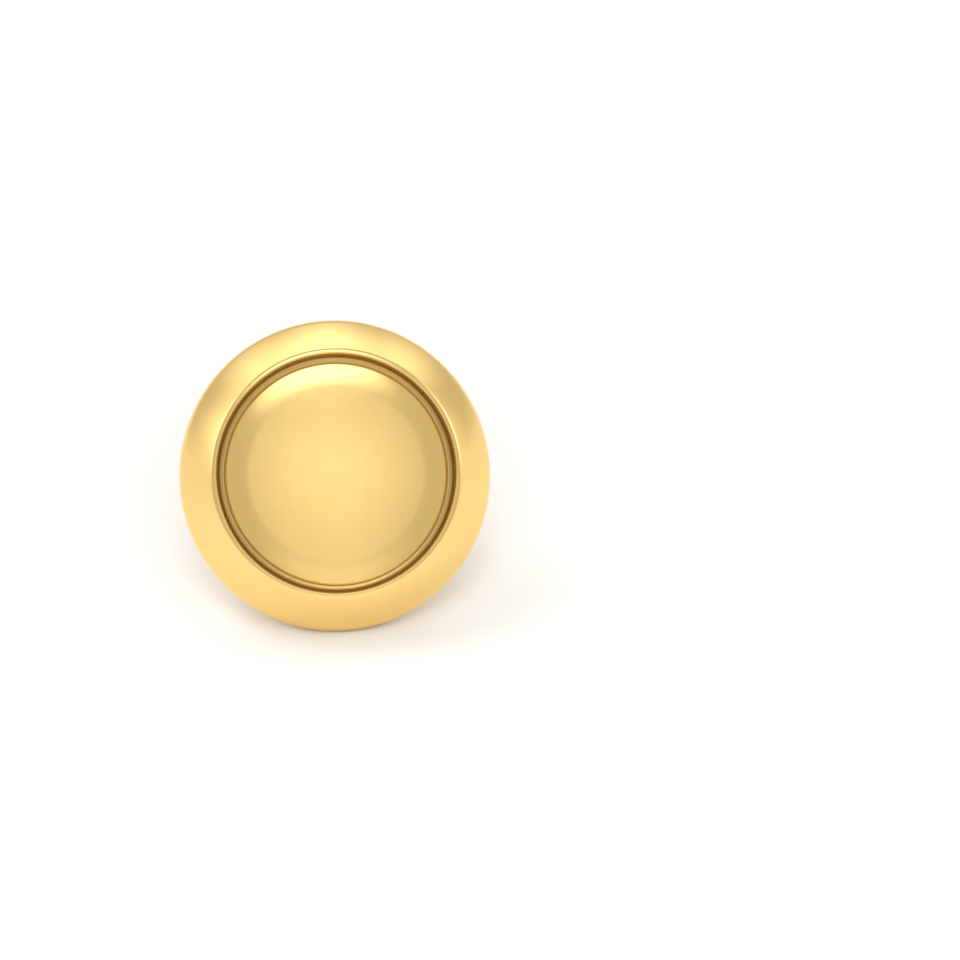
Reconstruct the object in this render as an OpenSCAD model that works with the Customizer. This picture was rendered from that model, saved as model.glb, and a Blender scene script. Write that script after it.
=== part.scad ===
// Round hollow button earring with an ear post and a push-on butterfly back.
// It rests on a flat surface, on the edge of the button and the lower scroll of the back.
// Millimetres. +Z is up, the face looks towards -Y and upwards.

/* [Button] */
// Outer diameter of the button
head_d = 23; // [20:0.5:27]
// Width of the sloping band, from the lip to the outer edge, seen from the front
band_w = 2.63; // [2.2:0.05:3]
// Slope of the band at the lip, measured from the plane of the face
band_slope_inner = 46.5; // [44:0.5:48]
// Slope of the band where it turns into the outer edge
band_slope_outer = 55; // [53:0.5:58]
// Thickness of the front's sheet metal
wall = 0.32; // [0.25:0.01:0.38]

/* [Recessed disc] */
// Depth of the groove round the disc, below the lip
groove_depth = 0.95; // [0.8:0.05:1.2]
// Radius of the hollow fillet between the groove's wall and its floor
groove_fillet = 0.39; // [0.2:0.01:0.45]
// Lean of the groove's wall from the axis
groove_draft = 15; // [8:1:20]
// Slope of the disc where its gentle dome meets its falling shoulder
disc_dome_slope = 5.2; // [3:0.1:7]
// Slope of the disc's shoulder at its edge
disc_edge_slope = 16; // [12:1:20]

/* [Back plate] */
// Thickness of the back plate
plate_t = 0.38; // [0.3:0.01:0.45]
// Width of the front's metal that is turned in over the back plate
turned_w = 1.38; // [1.2:0.02:1.5]
// Slope of the back plate where its dome begins
back_slope = 12; // [9:0.5:14]
// Diameter of the vent hole
vent_d = 0.8; // [0.5:0.1:1.2]
// Distance of the vent hole from the button's centre
vent_r = 9; // [5:0.5:9]
// Angle of the vent hole below the horizontal
vent_angle = 30; // [0:5:60]

/* [Post and pad] */
// Diameter of the ear post
post_d = 0.9; // [0.8:0.05:1]
// Length of the ear post, from the back plate to its tip
post_l = 12.55; // [12:0.05:13.5]
// Height of the post's root above the button's centre
post_up = 2.8; // [2.4:0.1:3.1]
// Rise of the post away from the button's axis
post_rise = 2.6; // [0:0.2:4]
// Length of the raised pad above the post
pad_l = 4.88; // [4:0.02:5.1]
// Width of the raised pad
pad_w = 2.4; // [1.6:0.1:3.4]
// Thickness of the raised pad
pad_t = 0.5; // [0.4:0.05:0.6]

/* [Butterfly back] */
// Distance from the post's root to the front of the butterfly back
clutch_at = 7.72; // [6.5:0.01:8.3]
// Diameter of the round washer
washer_d = 5.88; // [5.4:0.02:6]
// Thickness of the strip
strip_t = 0.46; // [0.4:0.02:0.5]
// Width of the rolled arms
arm_w = 2.9; // [2.4:0.1:3.4]
// Outer radius of the scrolls
scroll_r = 1.83; // [1.75:0.01:1.95]
// Gap between the post and the hole in the washer
hole_gap = 0.04; // [0.02:0.01:0.06]

/* [Hidden] */

gold_polished = "#dfbf72";
gold_satin = "#c9a352";
gold_clutch = "#d3ad57";

// Segments round the large turned forms and round the small ones, and the step in degrees
// between the points of a small quarter round.
turn_fn = 160;
wire_fn = 48;
quarter_step = 15;

// A turned outline is a list of [radius, depth] points, with the depth counted from the
// foremost circle of the lip. Its arcs follow the way the surface faces: 0 is straight
// to the front, 90 is outwards and 180 is straight to the back.
head_r = head_d / 2;
lip_r = head_r - band_w;
lip_inner_round = 0.08;
lip_outer_round = 0.5;
edge_front_round = 1.5;
edge_round = 0.62;
edge_back_round = 1.3;
shoulder_round = 4.8;
edge_front_end = 84;
edge_end = 125;
edge_back_end = 150;
dome_start = 180 - back_slope;

// Step along an arc of radius r while the surface turns from facing a to facing b.
function turn(r, a, b) = r * [sin(b) - sin(a), cos(a) - cos(b)];
// Outward direction of a surface that faces a.
function facing(a) = [sin(a), -cos(a)];
// Steps of an arc of radius r that turns by a sweep in degrees, from the largest turn in
// degrees and the largest length of one step.
step_turn = 9;
step_l = 1.5;
least_steps = 3;
function steps(r, sweep) =
    max(least_steps, ceil(abs(sweep) / step_turn), ceil(abs(r * sweep) * PI / 180 / step_l));
// Points of that arc from point p, set into the metal by t.
function arc(p, r, a, b, t = 0) =
    let (n = steps(r, b - a))
    [for (i = [0 : n]) let (c = a + (b - a) * i / n) p + turn(r, a, c) - t * facing(c)];
// The same points in the opposite order.
function reversed(list) = [for (i = [len(list) - 1 : -1 : 0]) list[i]];
function cross2(a, b) = a.x * b.y - a.y * b.x;
// Crossing of the line through p along d with the line through q along e.
function meet(p, d, q, e) = p + d * cross2(q - p, e) / cross2(d, e);
function along(a) = [cos(a), sin(a)];

// Lip, band and rounded outer edge.
lip_front = [lip_r, 0];
band_from = lip_front + turn(lip_outer_round, 0, band_slope_inner);
edge_in = head_r - turn(edge_front_round, band_slope_outer, edge_front_end).x
    - turn(edge_round, edge_front_end, 90).x;
band_round = (edge_in - band_from.x) / (sin(band_slope_outer) - sin(band_slope_inner));
edge_from = band_from + turn(band_round, band_slope_inner, band_slope_outer);
edge_mid = edge_from + turn(edge_front_round, band_slope_outer, edge_front_end);
edge_to = edge_mid + turn(edge_round, edge_front_end, edge_end);
shoulder_from = edge_to + turn(edge_back_round, edge_end, edge_back_end);
dome_from = shoulder_from + turn(shoulder_round, edge_back_end, dome_start);
dome_round = dome_from.x / sin(back_slope);
back_depth = dome_from.y + turn(dome_round, dome_start, 180).y;

// Seam between the turned-in edge and the back plate.
seam_gap = 0.03;
seam_r = head_r - turned_w;
function shoulder_facing(r) = 180 - asin((r - shoulder_from.x) / shoulder_round + sin(edge_back_end));
plate_facing = shoulder_facing(seam_r);
turned_facing = shoulder_facing(seam_r + seam_gap);
// The plate's rim runs on below the turned-in edge as a thin tongue.
tongue_w = 0.45;
tongue_t = 0.26;
tongue_in = wall + seam_gap;
tongue_facing = shoulder_facing(seam_r + tongue_w);
tongue_lap = 0.35;
tongue_root_facing = shoulder_facing(seam_r - tongue_lap);

// Groove and disc.
wall_facing = groove_draft - 90;
wall_top = lip_front - turn(lip_inner_round, wall_facing, 0);
fillet_rise = turn(-groove_fillet, 0, wall_facing);
wall_l = (groove_depth + fillet_rise.y - wall_top.y) / cos(groove_draft);
fillet_top = wall_top - wall_l * along(wall_facing);
fillet_from = fillet_top - fillet_rise;
floor_w = 0.03;
disc_edge_round = 0.3;
disc_edge_facing = 88;
disc_shoulder_round = 9;
disc_rim_r = fillet_from.x - floor_w;
disc_edge_from = [disc_rim_r, groove_depth] - turn(disc_edge_round, disc_edge_slope, disc_edge_facing);
disc_shoulder_from = disc_edge_from - turn(disc_shoulder_round, disc_dome_slope, disc_edge_slope);
disc_dome_round = disc_shoulder_from.x / sin(disc_dome_slope);
disc_centre = disc_shoulder_from - turn(disc_dome_round, 0, disc_dome_slope);

// Post, pad and butterfly back, in the plane x = 0 of the button: [depth, height].
post_r = post_d / 2;
function back_depth_at(r) = back_depth - dome_round + sqrt(dome_round * dome_round - r * r);
root = [back_depth_at(post_up), post_up];
function on_axis(along_post, off_post) =
    root + [along_post * cos(post_rise) - off_post * sin(post_rise),
            along_post * sin(post_rise) + off_post * cos(post_rise)];

// The pad's lower end is just above the post, and its other end is bevelled.
pad_gap = 0.11;
pad_low = root.y + post_r + pad_gap;
pad_high = pad_low + pad_l;
pad_middle = (pad_low + pad_high) / 2;

// Scrolls: centre of the round part, measured from the washer's front and the post's axis.
scroll_bite = 0.13;
scroll_clear = 1.05;
scroll_x = scroll_r + scroll_clear;
scroll_y = post_r - scroll_bite + scroll_r;

// Resting tilt: the level surface touches the rounded outer edge and the lower scroll.
edge_centre = edge_to - edge_back_round * facing(edge_end);
foot = [edge_centre.y, -edge_centre.x];
scroll_foot = on_axis(clutch_at + scroll_x, -scroll_y);
foot_span = scroll_foot - foot;
tilt = acos((scroll_r - edge_back_round) / norm(foot_span)) - atan2(foot_span.x, foot_span.y);
// The origin is below the middle of the resting earring's box.
function level(p) = [p.x * cos(tilt) + p.y * sin(tilt), p.y * cos(tilt) - p.x * sin(tilt)];
floor_z = level(foot).y - edge_back_round;
lip_low = lip_front + turn(lip_outer_round, 0, tilt);
front_y = level([lip_low.y, -lip_low.x]).x;
rear_y = level(on_axis(clutch_at + scroll_x, scroll_y)).x + scroll_r;

module resting() {
    translate([0, -(front_y + rear_y) / 2, -floor_z])
        rotate([-tilt, 0, 0])
            children();
}

// Turns an outline of [radius, depth] about the button's axis.
module turned() {
    rotate([-90, 0, 0])
        rotate_extrude($fn = turn_fn)
            children();
}

// Moves its children to a place on the post, with the post along their Y.
module on_post(distance) {
    translate([0, root.x, root.y])
        rotate([post_rise, 0, 0])
            translate([0, distance, 0])
                children();
}

module front_shell_outline() {
    band_in = arc(band_from, band_round, band_slope_inner, band_slope_outer, wall);
    fillet_in = arc(fillet_from, -groove_fillet, 0, wall_facing, wall);
    disc_edge_in = disc_edge_from - wall * facing(disc_edge_slope);
    crotch = meet(band_in[0], along(band_slope_inner), fillet_in[len(fillet_in) - 1], along(wall_facing));
    outside = concat(
        arc(disc_centre, disc_dome_round, 0, disc_dome_slope),
        arc(disc_shoulder_from, disc_shoulder_round, disc_dome_slope, disc_edge_slope),
        arc(disc_edge_from, disc_edge_round, disc_edge_slope, disc_edge_facing),
        arc(fillet_from, -groove_fillet, 0, wall_facing),
        arc(wall_top, lip_inner_round, wall_facing, 0),
        arc(lip_front, lip_outer_round, 0, band_slope_inner),
        arc(band_from, band_round, band_slope_inner, band_slope_outer),
        arc(edge_from, edge_front_round, band_slope_outer, edge_front_end),
        arc(edge_mid, edge_round, edge_front_end, edge_end),
        arc(edge_to, edge_back_round, edge_end, edge_back_end),
        arc(shoulder_from, shoulder_round, edge_back_end, turned_facing));
    inside = concat(
        reversed(arc(shoulder_from, shoulder_round, edge_back_end, turned_facing, wall)),
        reversed(arc(edge_to, edge_back_round, edge_end, edge_back_end, wall)),
        reversed(arc(edge_mid, edge_round, edge_front_end, edge_end, wall)),
        reversed(arc(edge_from, edge_front_round, band_slope_outer, edge_front_end, wall)),
        reversed([for (i = [1 : len(band_in) - 1]) band_in[i]]),
        [crotch],
        reversed(fillet_in),
        [[disc_edge_in.x, groove_depth + wall]],
        reversed(arc(disc_shoulder_from, disc_shoulder_round, disc_dome_slope, disc_edge_slope, wall)),
        reversed(arc(disc_centre, disc_dome_round, 0, disc_dome_slope, wall)));
    polygon(concat(outside, inside));
}

module front_shell() {
    color(gold_polished)
        resting()
            turned()
                front_shell_outline();
}

module back_plate_outline() {
    tongue_end = shoulder_from + turn(shoulder_round, edge_back_end, tongue_facing);
    tongue_inner = tongue_in + tongue_t;
    polygon(concat(
        arc(shoulder_from + turn(shoulder_round, edge_back_end, plate_facing), shoulder_round,
            plate_facing, dome_start),
        arc(dome_from, dome_round, dome_start, 180),
        reversed(arc(dome_from, dome_round, dome_start, 180, plate_t)),
        reversed(arc(tongue_end, shoulder_round, tongue_facing, tongue_root_facing, tongue_inner)),
        arc(tongue_end, shoulder_round, tongue_facing, plate_facing, tongue_in)));
}

// Outline of the post and of the solder round its root, as [radius, length] points.
module post_outline() {
    solder = 0.34;
    tip_round = 0.22;
    sunk = 0.2;
    polygon(concat(
        [[0, -sunk], [post_r + solder, -sunk]],
        [for (a = [0 : quarter_step : 90])
            [post_r + solder * (1 - sin(a)), solder * (1 - cos(a))]],
        [for (a = [0 : quarter_step : 90])
            [post_r - tip_round * (1 - cos(a)), post_l - tip_round * (1 - sin(a))]],
        [[0, post_l]]));
}

// The pad seen from the side, as [depth, height] points: its face is parallel to the
// plate below its middle, its lower edge is chamfered and its upper end is bevelled.
module pad_side() {
    bevel = 0.31;
    foot_h = 0.12;
    foot_in = 0.1;
    sunk = 0.15;
    tip_sunk = 0.02;
    tip_step = 0.05;
    extra_lean = 1;
    proud = 0.05;
    lean = asin(pad_middle / dome_round) + extra_lean;
    face_mid = back_depth_at(pad_middle) + pad_t + proud;
    foot = face_mid + (pad_middle - pad_low - foot_h) * tan(lean);
    polygon([
        [back_depth_at(pad_low) - sunk, pad_low],
        [foot - foot_in, pad_low],
        [foot, pad_low + foot_h],
        [face_mid - (pad_high - bevel - pad_middle) * tan(lean), pad_high - bevel],
        [back_depth_at(pad_high) - tip_sunk, pad_high],
        [back_depth_at(pad_high) - sunk, pad_high - tip_step]]);
}

// The pad seen from the back: a rectangle with its upper corners rounded.
module pad_face() {
    corner = 0.5;
    half = pad_w / 2;
    corner_x = half - corner;
    corner_y = pad_high - corner;
    polygon(concat(
        [[-half, pad_low], [half, pad_low]],
        [for (a = [0 : quarter_step : 90]) [corner_x + corner * cos(a), corner_y + corner * sin(a)]],
        [for (a = [90 : quarter_step : 180]) [-corner_x + corner * cos(a), corner_y + corner * sin(a)]]));
}

module pad() {
    intersection() {
        rotate([90, 0, 90])
            linear_extrude(height = pad_w, center = true)
                pad_side();
        translate([0, head_r, 0])
            rotate([90, 0, 0])
                linear_extrude(height = head_r)
                    pad_face();
    }
}

module back_plate() {
    vent_cut = 3;
    color(gold_satin)
        resting()
            union() {
                difference() {
                    turned()
                        back_plate_outline();
                    rotate([0, vent_angle, 0])
                        translate([vent_r, back_depth, 0])
                            rotate([90, 0, 0])
                                cylinder(d = vent_d, h = vent_cut, center = true, $fn = wire_fn);
                }
                on_post(0)
                    rotate([-90, 0, 0])
                        rotate_extrude($fn = wire_fn)
                            post_outline();
                pad();
            }
}

// Points of an arc about centre c, from angle a to angle b.
scroll_step = 7;
function round_about(c, r, a, b) =
    let (n = ceil(abs(b - a) / scroll_step))
    [for (i = [0 : n]) let (d = a + (b - a) * i / n) c + r * [cos(d), sin(d)]];

// One arm and its scroll seen from the side, as [length, height] points from the washer's
// front and the post's axis: out along a wide arc, round the scroll past the post, and
// straight back towards the washer.
module scroll_outline() {
    arm_r = 3.05;
    arm_from = 140;
    top = 90;
    tail_turn = -140;
    tail_l = 1.07;
    washer_in = 0.12;
    arm_centre = [scroll_x, scroll_y + scroll_r - arm_r];
    centre = [scroll_x, scroll_y];
    tail = tail_l * [sin(tail_turn), -cos(tail_turn)];
    outer = concat(
        round_about(arm_centre, arm_r, arm_from, top),
        round_about(centre, scroll_r, top - scroll_step, tail_turn));
    inner = concat(
        round_about(arm_centre, arm_r - strip_t, arm_from, top),
        round_about(centre, scroll_r - strip_t, top - scroll_step, tail_turn));
    polygon(concat(
        [[washer_in, scroll_y]],
        outer,
        [outer[len(outer) - 1] + tail, inner[len(inner) - 1] + tail],
        reversed(inner),
        [[strip_t, scroll_y]]));
}

module arm() {
    rotate([90, 0, 90])
        linear_extrude(height = arm_w, center = true)
            scroll_outline();
}

// Dished washer and the collar that the piercing throws up behind it, as [radius, length].
module washer_outline() {
    washer_r = washer_d / 2;
    flat_r = 1.85;
    dish_r = 1.5;
    hole_r = post_r + hole_gap;
    land = 0.08;
    collar = 0.4;
    collar_l = 0.37;
    rim_turn = asin((washer_r - flat_r) / dish_r);
    polygon(concat(
        [[hole_r, 0]],
        arc([flat_r, 0], dish_r, 0, rim_turn),
        reversed(arc([flat_r, 0], dish_r, 0, rim_turn, strip_t)),
        [for (a = [0 : quarter_step : 90])
            [hole_r + land + collar * (1 - sin(a)), strip_t + collar_l * (1 - cos(a))]],
        [[hole_r, strip_t + collar_l]]));
}

module butterfly_clutch() {
    bore_from = -1;
    bore_l = 8;
    color(gold_clutch)
        resting()
            on_post(clutch_at)
                difference() {
                    union() {
                        rotate([-90, 0, 0])
                            rotate_extrude($fn = wire_fn)
                                washer_outline();
                        arm();
                        mirror([0, 0, 1])
                            arm();
                    }
                    translate([0, bore_from, 0])
                        rotate([-90, 0, 0])
                            cylinder(r = post_r + hole_gap, h = bore_l, $fn = wire_fn);
                }
}

front_shell();
back_plate();
butterfly_clutch();
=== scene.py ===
"""Round hollow gold button stud with an ear post and a butterfly back, at rest on a pale floor.

Metres throughout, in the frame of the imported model. The button is worked out in its own
frame first: x across, then the depth behind the plane of the lip, then the height above
the button's centre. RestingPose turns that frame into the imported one.
"""

from __future__ import annotations

import logging
import math
from dataclasses import dataclass, field
from enum import Enum
from typing import Iterable, Sequence

import bmesh
import bpy
from mathutils import Matrix, Vector, noise


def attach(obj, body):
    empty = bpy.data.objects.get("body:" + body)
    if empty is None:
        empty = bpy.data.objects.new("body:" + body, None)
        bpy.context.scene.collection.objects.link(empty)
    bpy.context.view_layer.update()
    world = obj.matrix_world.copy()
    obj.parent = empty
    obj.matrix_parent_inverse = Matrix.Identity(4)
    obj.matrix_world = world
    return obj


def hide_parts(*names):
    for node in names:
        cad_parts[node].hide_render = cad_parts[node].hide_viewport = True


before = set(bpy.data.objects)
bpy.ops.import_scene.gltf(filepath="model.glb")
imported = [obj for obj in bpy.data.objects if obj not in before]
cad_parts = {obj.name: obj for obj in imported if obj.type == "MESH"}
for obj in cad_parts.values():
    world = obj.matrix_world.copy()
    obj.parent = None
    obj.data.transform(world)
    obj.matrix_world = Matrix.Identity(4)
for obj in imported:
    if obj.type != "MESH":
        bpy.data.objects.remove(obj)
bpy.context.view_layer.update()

LOG = logging.getLogger("button_earring")
# Millimetres in a metre, for patterns whose size is given in millimetres
MM = 1000.0
# Distances under which two points of an outline are one, and a point is on the axis
SAME_PLACE = 1e-8
ON_AXIS = 1e-7
# Inputs of Blender's mix node: the two numbers, and the two colours
NUMBER_A, NUMBER_B, COLOUR_A, COLOUR_B = 2, 3, 6, 7
# Stretch of a noise's values that is spread over the whole range of a roughness
CLOUD_RANGE = (0.35, 0.65)
SMEAR_RANGE = (0.3, 0.7)

Point = tuple[float, float]
Triple = tuple[float, float, float]
Colour = tuple[float, float, float, float]


def turn(radius: float, begin: float, end: float) -> Point:
    """Step along an arc while its surface turns from one facing to another.

    Args:
        radius: Radius of the arc, negative on a hollow one.
        begin: Facing at the start in degrees: 0 is the front, 90 outwards, 180 the back.
        end: Facing at the end.

    Returns:
        The step as (radius, depth).
    """
    a, b = math.radians(begin), math.radians(end)
    return radius * (math.sin(b) - math.sin(a)), radius * (math.cos(a) - math.cos(b))


def plus(a: Point, b: Point, scale: float = 1.0) -> Point:
    """Return a + scale * b."""
    return a[0] + scale * b[0], a[1] + scale * b[1]


def outward(facing: float) -> Point:
    """Return the outward direction of a surface with that facing, in degrees."""
    return math.sin(math.radians(facing)), -math.cos(math.radians(facing))


def spread(low: float, high: float, count: int) -> list[float]:
    """Return count evenly spaced numbers from low to high, both included."""
    return [low + (high - low) * i / (count - 1) for i in range(count)]


@dataclass(frozen=True)
class OutlinePoint:
    """A point of a turned outline and the way its surface faces, in degrees."""

    radius: float
    depth: float
    facing: float


@dataclass(frozen=True)
class Arc:
    """A round stretch of a turned outline, from the facing begin to the facing end."""

    start: Point
    radius: float
    begin: float
    end: float

    @property
    def finish(self) -> Point:
        """Return the point where the arc ends."""
        return plus(self.start, turn(self.radius, self.begin, self.end))

    def points(self, inset: float = 0.0, step_angle: float = 3.0,
               step_length: float = 0.00025) -> list[OutlinePoint]:
        """Place points along the arc.

        Args:
            inset: How far the points are set into the metal.
            step_angle: Largest turn between two points, in degrees.
            step_length: Largest distance between two points.

        Returns:
            The points, from begin to end.
        """
        sweep = abs(self.end - self.begin)
        length = abs(self.radius) * math.radians(sweep)
        count = 1 + max(2, math.ceil(sweep / step_angle), math.ceil(length / step_length))
        found = []
        for facing in spread(self.begin, self.end, count):
            on_arc = plus(self.start, turn(self.radius, self.begin, facing))
            radius, depth = plus(on_arc, outward(facing), -inset)
            found.append(OutlinePoint(radius, depth, facing))
        return found


def chain(start: Point, parts: Iterable[tuple[float, float, float]]) -> list[Arc]:
    """Join arcs end to end.

    Args:
        start: Where the first arc starts.
        parts: (radius, begin, end) of each arc.

    Returns:
        The arcs in order.
    """
    arcs = []
    for radius, begin, end in parts:
        arcs.append(Arc(start, radius, begin, end))
        start = arcs[-1].finish
    return arcs


def chain_back(finish: Point, parts: Sequence[tuple[float, float, float]]) -> list[Arc]:
    """Join arcs end to end so that the last one ends at a given point.

    Args:
        finish: Where the last arc ends.
        parts: (radius, begin, end) of each arc.

    Returns:
        The arcs in order.
    """
    arcs: list[Arc] = []
    for radius, begin, end in reversed(parts):
        start = plus(finish, turn(radius, begin, end), -1.0)
        arcs.insert(0, Arc(start, radius, begin, end))
        finish = start
    return arcs


def joined(parts: Iterable[Sequence[OutlinePoint]]) -> list[OutlinePoint]:
    """Join stretches of an outline and drop the points that repeat the one before.

    Args:
        parts: The stretches in order.

    Returns:
        The points of the whole outline.
    """
    outline: list[OutlinePoint] = []
    for part in parts:
        for at in part:
            last = outline[-1] if outline else None
            if last and math.hypot(at.radius - last.radius, at.depth - last.depth) < SAME_PLACE:
                continue
            outline.append(at)
    return outline


def direction(azimuth: float, elevation: float) -> Vector:
    """Return the unit vector of a direction.

    Args:
        azimuth: 0 is in front of the earring (-Y) and 90 to its right (+X), in degrees.
        elevation: Height above the horizon, in degrees.

    Returns:
        The vector.
    """
    a, e = math.radians(azimuth), math.radians(elevation)
    return Vector((math.sin(a) * math.cos(e), -math.cos(a) * math.cos(e), math.sin(e)))


def srgb(code: str) -> Colour:
    """Turn an sRGB hex colour such as #E3C27A into linear RGBA.

    Args:
        code: The colour, with six digits after the #.

    Returns:
        Red, green, blue and alpha.
    """
    def linear(value: float) -> float:
        """Undo the sRGB curve on one channel."""
        return value / 12.92 if value <= 0.04045 else ((value + 0.055) / 1.055) ** 2.4

    r, g, b = (linear(int(code[i:i + 2], 16) / 255) for i in (1, 3, 5))
    return r, g, b, 1.0


def add_node(tree: bpy.types.NodeTree, kind: str, inputs: dict | None = None,
             **settings: object) -> bpy.types.Node:
    """Add a node with its settings and links.

    Args:
        tree: The node tree that gets the node.
        kind: Blender's name for the kind of node.
        inputs: Value of each input, or the output socket that feeds it.
        **settings: Properties of the node.

    Returns:
        The new node.
    """
    node = tree.nodes.new(kind)
    for name, value in settings.items():
        setattr(node, name, value)
    for key, value in (inputs or {}).items():
        if isinstance(value, bpy.types.NodeSocket):
            tree.links.new(value, node.inputs[key])
        else:
            node.inputs[key].default_value = value
    return node


def add_range(tree: bpy.types.NodeTree, value: bpy.types.NodeSocket, source: Point, target: Point,
              smooth: bool = False) -> bpy.types.NodeSocket:
    """Add a node that maps one range of a value onto another.

    Args:
        tree: The node tree.
        value: What is mapped.
        source: Both ends of its range.
        target: What they become.
        smooth: Whether the change is eased at both ends.

    Returns:
        The mapped value.
    """
    kind = "SMOOTHSTEP" if smooth else "LINEAR"
    return add_node(tree, "ShaderNodeMapRange", {
        "Value": value, "From Min": source[0], "From Max": source[1],
        "To Min": target[0], "To Max": target[1]}, interpolation_type=kind).outputs["Result"]


def mesh_object(name: str, points: Sequence[Triple], faces: Sequence[Sequence[int]], place: Matrix,
                normals: Sequence[Triple] | None = None) -> bpy.types.Object:
    """Make a smooth-shaded mesh object whose place is in its mesh.

    Args:
        name: Name of the piece.
        points: Corners in the piece's own frame.
        faces: Corner numbers of each face.
        place: Matrix from the piece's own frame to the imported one.
        normals: True normal at each corner, where it is known.

    Returns:
        The object, linked to the scene.
    """
    mesh = bpy.data.meshes.new(name)
    mesh.from_pydata([place @ Vector(p) for p in points], [], faces)
    mesh.validate()
    mesh.shade_smooth()
    if normals is None:
        edited = bmesh.new()
        edited.from_mesh(mesh)
        bmesh.ops.recalc_face_normals(edited, faces=edited.faces)
        edited.to_mesh(mesh)
        edited.free()
    else:
        turned = place.to_3x3()
        mesh.normals_split_custom_set_from_vertices(
            [(turned @ Vector(n)).normalized() for n in normals])
    piece = bpy.data.objects.new(name, mesh)
    bpy.context.scene.collection.objects.link(piece)
    return piece


@dataclass
class TurnedMesh:
    """Points, normals and faces of a form turned about the depth axis.

    Each ring is one point of the outline, and a point on the axis is a single corner. The
    outline runs from the front outwards to the back, or the other way when inwards is set.
    """

    segments: int
    inwards: bool = False
    points: list[Triple] = field(default_factory=list)
    normals: list[Triple] = field(default_factory=list)
    faces: list[tuple[int, ...]] = field(default_factory=list)
    rings: list[list[int]] = field(default_factory=list)

    def add_point(self, x: float, depth: float, height: float, facing: float, around: float) -> int:
        """Add a corner with the normal of a surface of that facing, and return its number.

        Args:
            x: Place across.
            depth: Depth behind the plane of the lip.
            height: Height above the centre.
            facing: Facing of the surface in degrees.
            around: Angle about the axis in radians.

        Returns:
            Number of the corner.
        """
        out, back = outward(facing)
        self.points.append((x, depth, height))
        self.normals.append((out * math.cos(around), back, out * math.sin(around)))
        return len(self.points) - 1

    def add_ring(self, at: OutlinePoint) -> None:
        """Add the ring, or the single corner, that a point of the outline makes.

        Args:
            at: The point.
        """
        if at.radius < ON_AXIS:
            self.rings.append([self.add_point(0.0, at.depth, 0.0, at.facing, 0.0)])
            return
        ring = []
        for j in range(self.segments):
            a = math.tau * j / self.segments
            x, height = at.radius * math.cos(a), at.radius * math.sin(a)
            ring.append(self.add_point(x, at.depth, height, at.facing, a))
        self.rings.append(ring)

    def join_rings(self, first: int, second: int, skipped: range = range(0)) -> None:
        """Fill the band between two rings.

        Args:
            first: Number of one ring.
            second: Number of the next ring along the outline.
            skipped: Segments that stay open.
        """
        a, b = self.rings[first], self.rings[second]
        for j in range(self.segments):
            if j in skipped:
                continue
            k = (j + 1) % self.segments
            if len(a) == 1:
                face = (a[0], b[j], b[k])
            elif len(b) == 1:
                face = (a[j], b[0], a[k])
            else:
                face = (a[j], b[j], b[k], a[k])
            self.faces.append(face[::-1] if self.inwards else face)

    def bridge(self, outer: Sequence[int], inner: Sequence[int], flipped: bool = False) -> None:
        """Fill the strip between two closed loops with as many corners.

        Args:
            outer: Corners of one loop.
            inner: Corners of the other loop.
            flipped: Whether the faces look the other way.
        """
        count = len(outer)
        for j in range(count):
            k = (j + 1) % count
            face = (outer[j], outer[k], inner[k], inner[j])
            self.faces.append(face[::-1] if flipped else face)

    def turn_outline(self, outline: Sequence[OutlinePoint], closed: bool = False) -> None:
        """Turn a whole outline.

        Args:
            outline: Its points, from the axis round the metal and back to the axis.
            closed: Whether the outline is a loop that doesn't reach the axis.
        """
        for at in outline:
            self.add_ring(at)
        for i in range(len(outline) - 1):
            self.join_rings(i, i + 1)
        if closed:
            self.join_rings(len(outline) - 1, 0)


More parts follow.
